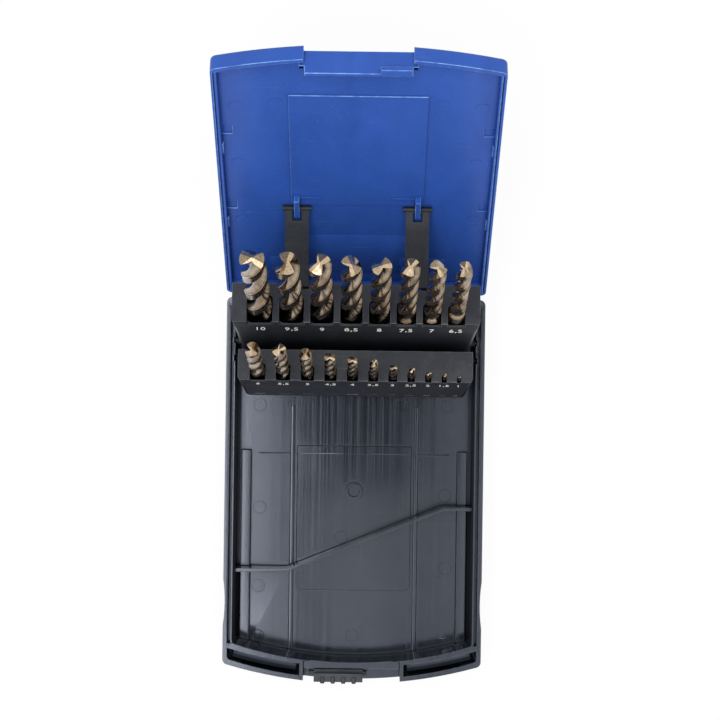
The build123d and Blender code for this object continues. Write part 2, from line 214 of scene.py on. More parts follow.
def section_radius(angle):
    """Radius of the fluted section, as a share of the drill's radius, over half a turn."""
    if angle <= MARGIN_END:
        return 1.0
    if angle <= LAND_END:
        return BODY_RADIUS
    across = ((angle - LAND_END) / (180 - LAND_END)) ** FLUTE_SKEW
    hollow = FLUTE_DEPTH * math.sin(math.pi * across) ** FLUTE_ROUND
    return BODY_RADIUS + (1 - BODY_RADIUS) * across - hollow


def flute_section():
    """The two-fluted section, shaped from a circle of unit radius."""
    deselect()
    bpy.ops.mesh.primitive_circle_add(vertices=SECTION_POINTS, radius=1, fill_type="NOTHING")
    obj = bpy.context.object
    obj.name = "flute_section"
    step = 360 / SECTION_POINTS
    for count in range(SECTION_POINTS // 2):
        angle = count * step
        share = section_radius(angle)
        if share == 1.0:
            continue
        edit(obj)
        ray = Vector((math.cos(math.radians(angle)), math.sin(math.radians(angle)), 0))
        pick(obj.data.vertices, lambda v: abs(v.co.normalized().dot(ray)) > 0.9999)
        bpy.ops.transform.resize(value=(share, share, 1), center_override=(0, 0, 0))
        done()
    return obj


def close_top(obj, length):
    """Closes the open end of the flutes before the point is ground."""
    edit(obj)
    pick(obj.data.vertices, lambda v: v.co.z > length - HAIR)
    bpy.ops.mesh.edge_face_add()
    done()


def run_out(obj, size, start):
    """Carries the foot of the flutes down into the round shank."""
    steps, fall = RUN_OUT_STEPS, RUN_OUT_FALL * size
    edit(obj, "EDGE")
    pick(obj.data.edges, lambda e: all(obj.data.vertices[i].co.z < start + HAIR for i in e.vertices))
    for count in range(steps):
        bpy.ops.mesh.extrude_region_move(TRANSFORM_OT_translate={"value": (0, 0, -fall / steps)})
        bpy.ops.transform.rotate(
            value=math.radians(RUN_OUT_TWIST) / steps, orient_axis="Z", center_override=(0, 0, 0))
        bpy.ops.transform.tosphere(value=((count + 1) / steps) ** RUN_OUT_EASE)
    done()
    foot = [v for v in obj.data.vertices if v.co.z < start - fall + HAIR]
    mean = sum(v.co.xy.length for v in foot) / len(foot)
    grow = size / 2 / mean
    edit(obj)
    pick(obj.data.vertices, lambda v: v.co.z < start - fall + HAIR)
    bpy.ops.transform.resize(value=(grow, grow, 1), center_override=(0, 0, 0))
    done()
    return start - fall


def shank(obj, size, top):
    """Round shank below the run-out, with its chamfered end."""
    chamfer = SHANK_CHAMFER * size
    edit(obj, "EDGE")
    pick(obj.data.edges, lambda e: all(obj.data.vertices[i].co.z < top + HAIR for i in e.vertices))
    bpy.ops.mesh.extrude_region_move(TRANSFORM_OT_translate={"value": (0, 0, chamfer - top)})
    bpy.ops.mesh.extrude_region_move(TRANSFORM_OT_translate={"value": (0, 0, -chamfer)})
    bpy.ops.transform.resize(value=(SHANK_END, SHANK_END, 1), center_override=(0, 0, 0))
    bpy.ops.mesh.edge_face_add()
    done()


def grind_point(obj, length, lip):
    """Cuts the lip reliefs and the split facets off the top, each closed by a flat face."""
    for turn_from_lip, half_angle, low in (RELIEF_CUT, GASH_CUT):
        for azimuth in (lip + turn_from_lip, lip + turn_from_lip + 180):
            tilt, turn = math.radians(90 - half_angle), math.radians(azimuth)
            normal = (
                math.sin(tilt) * math.cos(turn), math.sin(tilt) * math.sin(turn), math.cos(tilt))
            edit(obj)
            pick(obj.data.vertices, lambda v: True)
            bpy.ops.mesh.bisect(
                plane_co=(0, 0, length - low), plane_no=normal, use_fill=True, clear_outer=True)
            done()


def mark_depth(obj, size):
    """Stores how deep each point lies in a flute, for the finish."""
    layer = obj.data.attributes.new("depth", "FLOAT", "POINT")
    depths = [1 - min(v.co.xy.length / (size / 2), 1) for v in obj.data.vertices]
    layer.data.foreach_set("value", depths)


def mark_facets(obj, size, length):
    """Marks the faces ground at the point: one half for the relief, one for the gashes."""
    layer = obj.data.attributes.new("ground", "FLOAT", "FACE")
    marks = []
    for face in obj.data.polygons:
        top = face.normal.z > FACET_UP and face.center.z > length - size / 2
        marks.append(0.0 if not top else 1.0 if face.normal.z < GASH_UP else 0.5)
    layer.data.foreach_set("value", marks)


def twist_drill(section, name, size, length, flute, lip):
    """One drill about its own axis, standing on its shank at the origin."""
    obj = twin(section, name)
    obj.scale = (size / 2, size / 2, 1)
    settle(obj)
    turns = flute / (PITCH_PER_SIZE * size)
    steps = max(FEWEST_STEPS, round(turns * STEPS_PER_TURN))
    apply_modifier(
        obj, "SCREW", axis="Z", angle=2 * math.pi * turns, screw_offset=flute,
        steps=steps, render_steps=steps, use_merge_vertices=False)
    start = length - flute
    turn = Matrix.Rotation(math.radians(lip) - 2 * math.pi * turns, 4, "Z")
    move(obj, Matrix.Translation((0, 0, start)) @ turn)
    foot = run_out(obj, size, start)
    shank(obj, size, foot)
    close_top(obj, length)
    grind_point(obj, length, lip)
    outward(obj)
    mark_depth(obj, size)
    mark_facets(obj, size, length)
    return obj


def pocket_places(rack):
    """x centre of each of a rack's pockets."""
    bores = [row[0] + 2 * DRILL_PLAY for row in rack.drills]
    gap = (rack.width - 2 * rack.end_wall - sum(bores)) / (len(bores) - 1)
    x = rack.end_wall - rack.width / 2
    places = []
    for bore in bores:
        places.append(x + bore / 2)
        x += bore + gap
    return places


def stand_drills(section, rack):
    """Models each of a rack's drills and stands it in its pocket."""
    for (size, length, shown, flute, lip), x in zip(rack.drills, pocket_places(rack)):
        node = f"drill_{size:.1f}".replace(".", "_")
        obj = twist_drill(section, "twist_" + node, size, length, flute, lip)
        y = rack.front + rack.front_wall + size / 2 + DRILL_PLAY
        move(obj, rack_place(rack) @ Matrix.Translation((x, y, rack.top - (length - shown))))
        smooth(obj, 30)
        finish_piece(obj, node, "drill_steel", [node])


# ---- Node building ----
# Object coordinates are metres, so a scale says how often a pattern comes round in a metre.
def put(tree, kind, inputs=None, **settings):
    """Adds a node, sets it, and feeds its inputs with values or with other nodes' outputs."""
    node = tree.nodes.new("ShaderNode" + kind)
    for key, value in settings.items():
        setattr(node, key, value)
    for key, value in (inputs or {}).items():
        if isinstance(value, bpy.types.NodeSocket):
            tree.links.new(value, node.inputs[key])
        else:
            node.inputs[key].default_value = value
    return node


def noise(tree, vector, scale, detail, roughness=0.5, distortion=0.0):
    """Noise as a value about one half."""
    return put(tree, "TexNoise", {
        "Vector": vector, "Scale": scale, "Detail": detail,
        "Roughness": roughness, "Distortion": distortion}).outputs["Fac"]


def math_node(tree, operation, *values):
    """One sum of up to three values."""
    return put(tree, "Math", dict(enumerate(values)), operation=operation).outputs[0]


def span(tree, value, low, high, to_low=0.0, to_high=1.0):
    """Maps one range of a value to another and stops at its ends."""
    return put(tree, "MapRange", {
        "Value": value, "From Min": low, "From Max": high,
        "To Min": to_low, "To Max": to_high}).outputs["Result"]


def add_share(tree, value, mask, share):
    """Adds a share of a mask to a value."""
    return math_node(tree, "ADD", value, math_node(tree, "MULTIPLY", mask, share))


def tint(tree, amount, low, high):
    """Blends two colours."""
    return put(tree, "Mix", {0: amount, 6: low, 7: high}, data_type="RGBA").outputs[2]


def stored(tree, name):
    """A value that the mesh carries for its finish."""
    return put(tree, "Attribute", attribute_name=name).outputs["Fac"]


def raise_bump(tree, shader, height, strength, depth):
    """Feeds a height, with its depth in millimetres, to the shader's normal."""
    bump = put(tree, "Bump", {"Height": height, "Strength": strength, "Distance": depth * MM})
    tree.links.new(bump.outputs["Normal"], shader["Normal"])


def stretched(tree, vector, scale, rotation=(0, 0, 0)):
    """Coordinates drawn out along one way."""
    return put(tree, "Mapping", {
        "Vector": vector, "Scale": scale, "Rotation": rotation}).outputs["Vector"]


def new_group(name, inputs, outputs):
    """An empty shader group, with its way in and its way out."""
    tree = bpy.data.node_groups.new(name, "ShaderNodeTree")
    for label, kind, default in inputs:
        socket = tree.interface.new_socket(name=label, in_out="INPUT", socket_type=kind)
        if default is not None:
            socket.default_value = default
    for label, kind in outputs:
        tree.interface.new_socket(name=label, in_out="OUTPUT", socket_type=kind)
    return tree, tree.nodes.new("NodeGroupInput").outputs, tree.nodes.new("NodeGroupOutput").inputs


VECTOR, VALUE = "NodeSocketVector", "NodeSocketFloat"


def grain_group():
    """Spark-eroded mould grain, with slow changes of gloss and of shade."""
    tree, given, out = new_group(
        "mould_grain",
        [("Vector", VECTOR, None), ("Grain Size", VALUE, 0.0005), ("Gloss Change", VALUE, 0.06)],
        [("Height", VALUE), ("Roughness", VALUE), ("Shade", VALUE)])
    scale = math_node(tree, "DIVIDE", 1.0, given["Grain Size"])
    fine = noise(tree, given["Vector"], scale, 4.0, 0.6)
    pits = put(tree, "TexVoronoi", {"Vector": given["Vector"], "Scale": scale}, feature="F1")
    height = add_share(tree, fine, pits.outputs["Distance"], 0.5)
    tree.links.new(height, out["Height"])
    cloud = noise(tree, given["Vector"], 38.0, 3.0)
    speckle = math_node(tree, "MULTIPLY", math_node(tree, "SUBTRACT", fine, 0.5), 0.5)
    uneven = math_node(tree, "ADD", math_node(tree, "SUBTRACT", cloud, 0.5), speckle)
    tree.links.new(math_node(tree, "MULTIPLY", uneven, given["Gloss Change"]), out["Roughness"])
    flow = noise(tree, stretched(tree, given["Vector"], (60, 14, 30)), 1.0, 4.0, 0.55, 0.8)
    tree.links.new(span(tree, flow, 0.3, 0.7, 0.9, 1.1), out["Shade"])
    return tree


def scratch_group():
    """Fine rubbing scratches that run two ways, thinned out in patches."""
    tree, given, out = new_group(
        "rubbing_scratches",
        [("Vector", VECTOR, None), ("Amount", VALUE, 0.5), ("Spacing", VALUE, 0.0012)],
        [("Mask", VALUE)])
    scale = math_node(tree, "DIVIDE", 1.0, given["Spacing"])
    lines = []
    for turn, way in (((0.2, 0.3, 0.5), (1, 0.03, 1)), ((0.4, -0.2, -0.9), (0.04, 1, 1))):
        ways = stretched(tree, given["Vector"], way, turn)
        lines.append(span(tree, noise(tree, ways, scale, 2.0, 0.4), 0.66, 0.74))
    both = math_node(tree, "MAXIMUM", *lines)
    patch = span(tree, noise(tree, given["Vector"], 30.0, 2.0), 0.46, 0.68)
    tree.links.new(
        math_node(tree, "MULTIPLY", math_node(tree, "MULTIPLY", both, patch), given["Amount"]),
        out["Mask"])
    return tree


def edge_group():
    """Breaks up the rounded corners, so that the wear, and the plastics' painted highlight, come and go."""
    tree, given, out = new_group(
        "rubbed_and_highlit_edges",
        [("Vector", VECTOR, None), ("Edge", VALUE, 0.0), ("Amount", VALUE, 0.5)],
        [("Mask", VALUE)])
    broken = span(tree, noise(tree, given["Vector"], 220.0, 3.0, 0.65), 0.36, 0.64, 0.25, 1.0)
    tree.links.new(
        math_node(tree, "MULTIPLY", math_node(tree, "MULTIPLY", given["Edge"], broken), given["Amount"]),
        out["Mask"])
    return tree


def dust_group():
    """Pale dust that settles in specks on what faces up."""
    tree, given, out = new_group(
        "settled_dust",
        [("Vector", VECTOR, None), ("Amount", VALUE, 0.3)], [("Mask", VALUE)])
    normal = put(tree, "NewGeometry").outputs["Normal"]
    up = put(tree, "SeparateXYZ", {0: normal}).outputs["Z"]
    specks = span(tree, noise(tree, given["Vector"], 1500.0, 2.0, 0.7), 0.64, 0.74)
    haze = span(tree, noise(tree, given["Vector"], 55.0, 4.0, 0.6), 0.45, 0.75, 0.0, 0.35)
    lying = math_node(tree, "MULTIPLY", math_node(tree, "MAXIMUM", specks, haze), span(tree, up, 0.2, 0.9))
    tree.links.new(math_node(tree, "MULTIPLY", lying, given["Amount"]), out["Mask"])
    return tree


GRAIN, SCRATCHES, EDGES, DUST = grain_group(), scratch_group(), edge_group(), dust_group()


def use_group(tree, group, inputs):
    """Places a group in a material with its own values."""
    return put(tree, "Group", inputs, node_tree=group).outputs


def new_material(name, colour):
    """An empty material and its shader."""
    material = bpy.data.materials.new(name)
    material.use_nodes = True
    material.diffuse_color = (*colour, 1)
    tree = material.node_tree
    return material, tree, tree.nodes["Principled BSDF"].inputs


# ---- Finishes ----
CORNER_REACH = 1.4       # how far a tight corner's shade goes, in millimetres
GRAIN_STRENGTH = 0.35
DUST_COLOUR = (0.34, 0.33, 0.31, 1)
LAND_OXIDE = (0.11, 0.063, 0.028, 1), (0.25, 0.155, 0.075, 1)
# Painted highlight: the lighter flute walls. Painted shade: the darker bottoms of the flutes.
FLUTE_WALL_HIGHLIGHT = (0.2, 0.14, 0.085, 1), (0.46, 0.38, 0.29, 1)
FLUTE_BOTTOM_SHADE = (0.14, 0.1, 0.07, 1)
RUBBED_STEEL = (0.78, 0.68, 0.52, 1)
GROUND_GASH = (0.5, 0.36, 0.21, 1), (0.76, 0.6, 0.4, 1)
GROUND_RELIEF = (0.22, 0.165, 0.11, 1), (0.38, 0.3, 0.21, 1)
WIRE = (0.42, 0.42, 0.44, 1), (0.66, 0.66, 0.67, 1)
WIRE_SPOT = (0.24, 0.2, 0.17, 1)
INK = (0.74, 0.74, 0.73, 1), (0.86, 0.86, 0.85, 1)
THIN_INK = (0.3, 0.3, 0.3, 1)


def deep_shade(tree, rough, colour, shade_colour):
    """Painted shade in tight corners and where a face lines a narrow channel: a darker colour, with duller
    plastic.
    """
    corner = put(tree, "AmbientOcclusion", {"Distance": CORNER_REACH * MM}, samples=3).outputs["AO"]
    painted_shade_mask = math_node(tree, "MAXIMUM", stored(tree, "channel"), span(tree, corner, 0.8, 0.35, 0.0, 0.9))
    dull = math_node(tree, "MAXIMUM", rough, math_node(tree, "MULTIPLY", painted_shade_mask, 0.85))
    # Under the mask the colour is blended towards the darker one: painted shade.
    return dull, tint(tree, painted_shade_mask, colour, (*shade_colour, 1))


def moulded_plastic(
        name, colour, worn, gloss, grain=0.0006, depth=0.05, edges=0.5, scratches=0.4, dust=0.25,
        streaks=0.0, shade_darkness=0.15, sheen=(1, 1, 1), shine=0.5, level_grain=False):
    """Moulded plastic: grain, flow shade, rubbed edges partly lightened as a painted highlight, fine
    scratches, a little dust, and painted shade in tight corners and channels.
    """
    material, tree, shader = new_material(name, colour)
    shader["Specular Tint"].default_value = (*sheen, 1)
    shader["Specular IOR Level"].default_value = shine
    place = put(tree, "TexCoord").outputs["Object"]
    skin = use_group(tree, GRAIN, {"Vector": place, "Grain Size": grain, "Gloss Change": 0.1})
    edge = use_group(tree, EDGES, {"Vector": place, "Edge": stored(tree, "edge"), "Amount": edges})
    rub = use_group(tree, SCRATCHES, {"Vector": place, "Amount": scratches})
    lying = use_group(tree, DUST, {"Vector": place, "Amount": dust})
    shaded = put(tree, "VectorMath", {0: colour, "Scale": skin["Shade"]}, operation="SCALE").outputs[0]
    # The edge colour marks rubbed edges and scratches; on the rounded edges it is also a painted highlight.
    wear_and_highlight = math_node(tree, "MAXIMUM", edge["Mask"], math_node(tree, "MULTIPLY", rub["Mask"], 0.35))
    worked = tint(tree, wear_and_highlight, shaded, (*worn, 1))
    dusty = tint(tree, lying["Mask"], worked, DUST_COLOUR)
    rough = math_node(tree, "ADD", skin["Roughness"], gloss)
    rough = add_share(tree, rough, wear_and_highlight, 0.16)
    rough = add_share(tree, rough, lying["Mask"], 0.5)
    if streaks:
        lines = noise(tree, stretched(tree, place, (1500, 9, 300)), 1.0, 3.0, 0.6)
        rough = math_node(tree, "ADD", rough, span(tree, lines, 0.3, 0.7, -streaks, streaks))
    # Painted shade: the colour darkens, and the plastic dulls, in tight corners and channels.
    rough, shown = deep_shade(tree, rough, dusty, tuple(shade_darkness * c for c in colour))
    tree.links.new(shown, shader["Base Color"])
    tree.links.new(rough, shader["Roughness"])
    height = math_node(tree, "SUBTRACT", skin["Height"], math_node(tree, "MULTIPLY", rub["Mask"], 0.7))
    strength = GRAIN_STRENGTH
    if level_grain:
        facing = put(tree, "SeparateXYZ", {0: put(tree, "TexCoord").outputs["Normal"]}).outputs["Z"]
        strength = span(tree, math_node(tree, "ABSOLUTE", facing), 0.3, 0.8, 0.0, GRAIN_STRENGTH)
    raise_bump(tree, shader, height, strength, depth)
    return material


def cobalt_steel():
    """Straw-bronze drill steel: oxide on the lands, a painted highlight on the flute walls and painted
    shade deep in the flutes, rubbed margins, ground facets.
    """
    material, tree, shader = new_material("cobalt_steel", (0.46, 0.33, 0.19))
    place = put(tree, "TexCoord").outputs["Object"]
    depth = stored(tree, "depth")
    ground = stored(tree, "ground")
    rub = use_group(tree, SCRATCHES, {"Vector": place, "Amount": 0.8, "Spacing": 0.0007})
    margin = span(tree, depth, 0.03, 0.005)
    edge = use_group(tree, EDGES, {"Vector": place, "Edge": margin, "Amount": 0.9})
    cloud = noise(tree, place, 170.0, 4.0, 0.6, 0.4)
    lines = noise(tree, stretched(tree, place, (900, 900, 5200)), 1.0, 2.0)
    mottle = span(tree, cloud, 0.35, 0.65)
    oxide, wall_highlight = tint(tree, mottle, *LAND_OXIDE), tint(tree, mottle, *FLUTE_WALL_HIGHLIGHT)
    # Flute walls lightened as a painted highlight, and the deep flutes darkened as painted shade.
    walls = tint(tree, span(tree, depth, 0.05, 0.14), oxide, wall_highlight)
    body = tint(tree, span(tree, depth, 0.3, 0.6), walls, FLUTE_BOTTOM_SHADE)
    worn = math_node(tree, "MAXIMUM", edge["Mask"], math_node(tree, "MULTIPLY", rub["Mask"], 0.5))
    rubbed = tint(tree, worn, body, RUBBED_STEEL)
    strokes = span(tree, lines, 0.35, 0.65)
    relief, gash = tint(tree, strokes, *GROUND_RELIEF), tint(tree, strokes, *GROUND_GASH)
    facet = tint(tree, span(tree, ground, 0.5, 1.0), relief, gash)
    cut = span(tree, ground, 0.0, 0.4)
    tree.links.new(tint(tree, cut, rubbed, facet), shader["Base Color"])
    shader["Metallic"].default_value = 1.0
    rough = span(tree, cloud, 0.3, 0.7, 0.15, 0.3)
    rough = add_share(tree, rough, rub["Mask"], 0.12)
    tree.links.new(add_share(tree, rough, cut, 0.06), shader["Roughness"])
    raise_bump(tree, shader, add_share(tree, lines, cloud, 0.6), 0.25, 0.03)
    return material


def drawn_wire():
    """Hinge pins: drawn steel with lines along them and a few dull spots."""
    material, tree, shader = new_material("drawn_wire", (0.6, 0.6, 0.62))
    place = put(tree, "TexCoord").outputs["Object"]
    rub = use_group(tree, SCRATCHES, {"Vector": place, "Amount": 0.7, "Spacing": 0.0004})
    lines = noise(tree, stretched(tree, place, (60, 4000, 4000)), 1.0, 3.0)
    spots = span(tree, noise(tree, place, 420.0, 3.0), 0.6, 0.72)
    drawn = tint(tree, span(tree, lines, 0.35, 0.65), *WIRE)
    tree.links.new(tint(tree, spots, drawn, WIRE_SPOT), shader["Base Color"])
    shader["Metallic"].default_value = 1.0
    rough = add_share(tree, span(tree, lines, 0.3, 0.7, 0.22, 0.4), rub["Mask"], 0.15)
    tree.links.new(add_share(tree, rough, spots, 0.25), shader["Roughness"])
    raise_bump(tree, shader, lines, 0.3, 0.02)
    return material


def printed_white():
    """Pad-printed size numbers: white ink with small thin places."""
    material, tree, shader = new_material("printed_white", (0.8, 0.8, 0.8))
    place = put(tree, "TexCoord").outputs["Object"]
    thin = span(tree, noise(tree, place, 2600.0, 3.0, 0.6), 0.62, 0.74)
    cloud = noise(tree, place, 300.0, 2.0)
    tree.links.new(tint(tree, thin, tint(tree, cloud, *INK), THIN_INK), shader["Base Color"])
    tree.links.new(span(tree, cloud, 0.3, 0.7, 0.4, 0.6), shader["Roughness"])
    return material


FINISHES = {
    "tray_plastic": moulded_plastic(
        "charcoal_tray", (0.013, 0.016, 0.023), (0.09, 0.095, 0.11), 0.11, depth=0.03, streaks=0.06,
        scratches=0.25, dust=0.05, sheen=(0.78, 0.84, 1.0), level_grain=True),
    # Lid: the pale blue edge colour is edge wear and, on the rounded edges, a painted highlight.
    "lid_plastic": moulded_plastic(
        "blue_lid", (0.027, 0.09, 0.4), (0.3, 0.54, 0.9), 0.27, depth=0.02, edges=0.75,
        scratches=0.25, dust=0.05, shade_darkness=0.5, shine=0.22),
    # Rack: the grey edge colour is edge wear and, on the rounded edges, a painted highlight.
    "rack_plastic": moulded_plastic(
        "black_rack", (0.014, 0.015, 0.019), (0.2, 0.205, 0.22), 0.44, grain=0.0004, depth=0.06, edges=0.75,
        sheen=(0.85, 0.9, 1.0), shine=0.42),
    "strap_plastic": moulded_plastic(
        "dark_strap", (0.012, 0.014, 0.018), (0.13, 0.135, 0.15), 0.44, grain=0.0004,
        sheen=(0.85, 0.9, 1.0), shine=0.32),
    "latch_plastic": moulded_plastic(
        "dark_latch", (0.014, 0.016, 0.02), (0.14, 0.145, 0.16), 0.42, grain=0.0004,
        sheen=(0.85, 0.9, 1.0), shine=0.34),
    "drill_steel": cobalt_steel(),
    "pin_steel": drawn_wire(),
}
PRINT = printed_white()


# ---- Softened copies of the solids ----
def sides_of_edges(mesh):
    """The faces on each side of every edge."""
    sides = {}
    for face in mesh.polygons:
        for key in face.edge_keys:
            sides.setdefault(key, []).append(face)
    return sides


BEVEL_SHARE = 0.45       # the most of an edge that a rounding may take
BEVEL_SEGMENTS = 2
SHARP_TURN = 28          # edges that turn by more are rounded, in degrees
SLANT_REACH = 1.0        # how much of a slanting edge counts, in millimetres
FOLD_TURN = 120.0        # a corner that turns by more doubles back, in degrees
FOLD_REACH = 0.35
INNER_SHADE = 0.8        # how much of a channel's shade an inner corner takes
# The channels along the side walls: how far out they start, their width, and their heights.
LINED_INSIDE, LINED_WIDTH = 49.0, 2.2
LINED_FROM, LINED_TO = 1.5, 27.0


def thickness(mesh, face):
    """Mean width of a strip of a face, from its area and girth."""
    places = [mesh.vertices[i].co for i in face.vertices]
    return 2 * face.area / sum((a - b).length for a, b in zip(places, places[1:] + places[:1]))


def weigh_edges(obj, width, slanting, thinnest):
    """Weighs the sharp edges for the bevel, less where short or slanting edges leave little room."""
    mesh = obj.data
    sides = sides_of_edges(mesh)
    runs, keen = {}, {}
    ends = [[] for _ in mesh.vertices]
    for edge in mesh.edges:
        key = edge.key
        faces = sides.get(key, [])
        runs[key] = mesh.vertices[key[1]].co - mesh.vertices[key[0]].co
        turn = faces[0].normal.angle(faces[1].normal, 0) if len(faces) == 2 else 0
        keen[key] = turn > math.radians(SHARP_TURN)
        for i in key:
            ends[i].append(key)
    weights = []
    for edge in mesh.edges:
        key, run = edge.key, runs[edge.key]
        thin = thinnest and min(thickness(mesh, face) for face in sides[key]) < thinnest * MM
        if thin or not keen[key]:
            weights.append(0.0)
            continue
        room = width * MM / BEVEL_SHARE
        for other in (other for i in key for other in ends[i] if other != key):
            reach = runs[other].length
            if slanting and not keen[other]:
                reach = min(reach, SLANT_REACH * MM) * math.sin(runs[other].angle(run, 0))
            room = min(room, reach)
        weights.append(min(1.0, BEVEL_SHARE * room / (width * MM)))
    mesh.attributes.new("bevel_weight_edge", "FLOAT", "EDGE").data.foreach_set("value", weights)


def merge_folds(obj):
    """Merges the corners where a face's outline doubles back on itself after the bevel."""
    places = [v.co for v in obj.data.vertices]
    folded = set()
    for face in obj.data.polygons:
        ids = list(face.vertices)
        for before, here, after in zip(ids[-1:] + ids[:-1], ids, ids[1:] + ids[:1]):
            come, go = places[here] - places[before], places[after] - places[here]
            short = min(come.length, go.length) < FOLD_REACH * MM
            if len(ids) > 4 and short and come.angle(go, 0) > math.radians(FOLD_TURN):
                folded |= {here, before if come.length < go.length else after}
    edit(obj)
    pick(obj.data.vertices, lambda v: v.index in folded)
    bpy.ops.mesh.remove_doubles(threshold=FOLD_REACH * MM)
    done()


def mark_corners(obj):
    """Stores which rounded faces are outer corners and which are inner, and leaves one material."""
    mesh = obj.data
    sides = sides_of_edges(mesh)
    outer, inner = [], []
    for face in mesh.polygons:
        fall = 0.0
        if face.material_index == 1:
            for key in face.edge_keys:
                middle = (mesh.vertices[key[0]].co + mesh.vertices[key[1]].co) / 2
                flats = [other for other in sides[key] if other.material_index == 0]
                fall += sum((middle - face.center).dot(other.normal) for other in flats)
        outer.append(float(fall > 0))
        inner.append(INNER_SHADE * float(fall < 0))
    mesh.attributes.new("edge", "FLOAT", "FACE").data.foreach_set("value", outer)
    mesh.attributes.new("channel", "FLOAT", "FACE").data.foreach_set("value", inner)
    for face in mesh.polygons:
        face.material_index = 0


def mark_channel(obj):
    """Adds the faces that line the narrow channels along the side walls to those in shade."""
    layer = obj.data.attributes["channel"]
    for face, mark in zip(obj.data.polygons, layer.data):
        x, up = abs(face.center.x), face.center.z
        inward = face.normal.x * face.center.x < 0.0001 * MM or face.normal.z > 0.5
        across = LINED_INSIDE * MM < x < (LINED_INSIDE + LINED_WIDTH) * MM
        if across and LINED_FROM * MM < up < LINED_TO * MM and inward:
            mark.value = 1.0


def softened(node, body, slot_name, width, slanting=True, thinnest=0.0):
    """A copy of a solid with its flats joined and its sharp edges rounded."""
    obj = twin(bpy.data.objects[node], node + "_moulding")
    obj.data.materials.clear()
    for _ in range(2):
        obj.data.materials.append(FINISHES[slot_name])
    outward(obj)
    edit(obj)
    pick(obj.data.vertices, lambda v: True)
    bpy.ops.mesh.remove_doubles(threshold=0.04 * MM)
    bpy.ops.mesh.dissolve_degenerate(threshold=0.03 * MM)
    bpy.ops.mesh.dissolve_limited(angle_limit=math.radians(0.6))
    done()
    weigh_edges(obj, width, slanting, thinnest)
    apply_modifier(
        obj, "BEVEL", width=width * MM, segments=BEVEL_SEGMENTS, limit_method="WEIGHT", material=1,
        use_clamp_overlap=False)
    for _ in range(3):
        merge_folds(obj)
    mark_corners(obj)
    smooth(obj, 32)
    apply_modifier(obj, "WEIGHTED_NORMAL", keep_sharp=True, weight=100)
    return finish_piece(obj, body, slot_name, [node])


mark_channel(softened("base_tray", "tray", "tray_plastic", 0.22, slanting=False))
softened("lid_shell", "lid", "lid_plastic", 0.25, thinnest=0.25)
softened("upper_rack", "upper_rack", "rack_plastic", 0.25)
softened("lower_rack", "lower_rack", "rack_plastic", 0.2)
softened("strap_left", "strap_left", "strap_plastic", 0.15)
softened("strap_right", "strap_right", "strap_plastic", 0.15)
softened("latch_slider", "latch", "latch_plastic", 0.2, slanting=False)
softened("hinge_pins", "tray", "pin_steel", 0.15)

section = flute_section()
for rack in (UPPER, LOWER):
    stand_drills(section, rack)
bpy.data.objects.remove(section)


# ---- Small moulded details ----
def joined(pieces, name):
    """Makes one piece of several."""
    activate(pieces[0])
    for obj in pieces:
        obj.select_set(True)
    bpy.ops.object.join()
    pieces[0].name = pieces[0].data.name = name
    return pieces[0]


# Sizes and places of the mould marks and thin plates, in millimetres; a place is x and back.
EJECTOR_RADIUS, MARK_DEPTH = 2.9, 0.16
DIAL_RADIUS, DIAL_DEPTH, DIAL_TEETH = 2.6, 0.3, 12
TOOTH_RING, TOOTH_RISE = (1.7, 2.3), 0.12
TRIANGLE_RADIUS = 2.6
FLOOR_MARKS = [
    (-41.4, 46.5), (-21.2, 46), (20.1, 46), (40.4, 46), (-41.2, 91.2), (39.7, 85.2), (-41.2, 125.6),
    (40.4, 117), (-0.1, 146.9)]
PANEL_MARKS = [(-5.4, 103.8)]
PANEL_RISE = 0.5
DIAL_PLACES = [(-41.1, 147.4)]
TRIANGLE_PLACES = [(40.3, 146.6)]
SEAM_HALF, SEAM_BACK, SEAM_WIDTH = 41.5, 67.2, 0.35
SEAM_SINK, SEAM_RISE, SEAM_ROUND = 0.1, 0.56, 0.08
LID_MARKS = [
    (-46.9, 126.3), (-31.4, 128.4), (31.9, 128.4), (47.1, 126.6), (-46.9, 88.9), (46.6, 89.8),
    (-47.0, 48.5), (46.9, 50), (-46.6, 153.6), (46.8, 153.4)]
# From x to x, from back to back, and how far it stands off the lid's roof.
STRAP_PLATES = [(-23.6, 21.6, 9, 37.6, 0.3), (-36.6, -19.2, 9, 20.4, 0.42), (17.8, 36.8, 9, 20.4, 0.42)]
PLATE_ROUND, PLATE_SINK = 0.12, 0.05
HOOK_RIBS = [(-23.3, -14.7), (13.9, 23.3)]
HOOK_RIB_BACK, HOOK_RIB_DROP, HOOK_RIB_ROUND = (65.8, 66.3), (1.3, 0.4), 0.1


def low_disc(vertices, radius, depth):
    """A low disc to be shaped, with its top face chosen and open for editing."""
    deselect()
    bpy.ops.mesh.primitive_cylinder_add(vertices=vertices, radius=radius, depth=depth)
    obj = bpy.context.object
    edit(obj, "FACE")
    pick(obj.data.polygons, lambda f: f.normal.z > 0.9)
    return obj


def step_in(thickness, rise):
    """Insets the chosen faces and lifts or sinks what they leave."""
    bpy.ops.mesh.inset(thickness=thickness)
    bpy.ops.transform.translate(value=(0, 0, rise))


def ejector_mark():
    """Low disc that an ejector pin leaves, with a dished middle."""
    obj = low_disc(40, EJECTOR_RADIUS, MARK_DEPTH)
    bpy.ops.mesh.inset(thickness=0.14)
    step_in(0.12, -0.06)
    done()
    smooth(obj, 20)
    return obj


